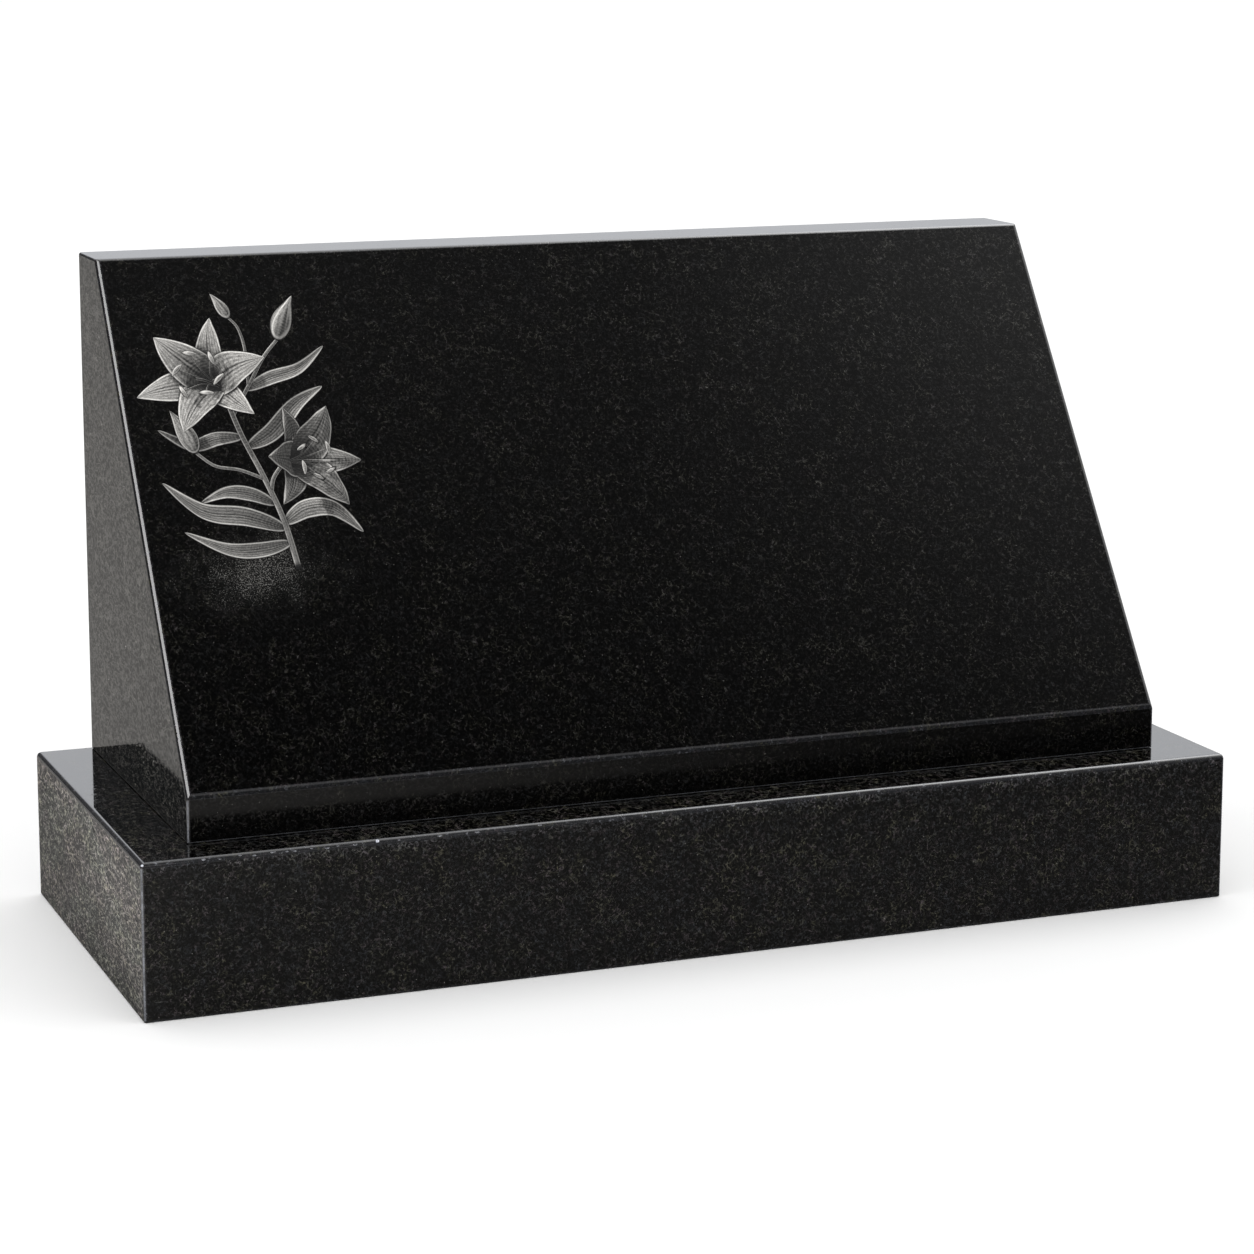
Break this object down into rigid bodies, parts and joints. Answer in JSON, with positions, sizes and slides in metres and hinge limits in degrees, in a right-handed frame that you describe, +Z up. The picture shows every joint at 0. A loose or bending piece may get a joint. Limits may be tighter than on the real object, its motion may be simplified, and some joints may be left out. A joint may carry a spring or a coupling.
{
  "type": "headstone",
  "caption": "Desk-shaped granite headstone: a wedge tablet with a sloping face and a short upright nose, standing on a flat rectangular base.",
  "frame": {"origin": "middle of the base's underside", "axes": "+X along the width, to the right of someone facing the sloping face; -Y out of the front; +Z up"},
  "size_m": [0.762, 0.305, 0.4473],
  "materials": {
    "base_granite": "polished top, honed sides",
    "tablet_granite": "polished",
    "etching": "stippled matt"
  },
  "bodies": {
    "root": {"base": "base_granite", "tablet": "tablet_granite"}
  },
  "joints": []
}
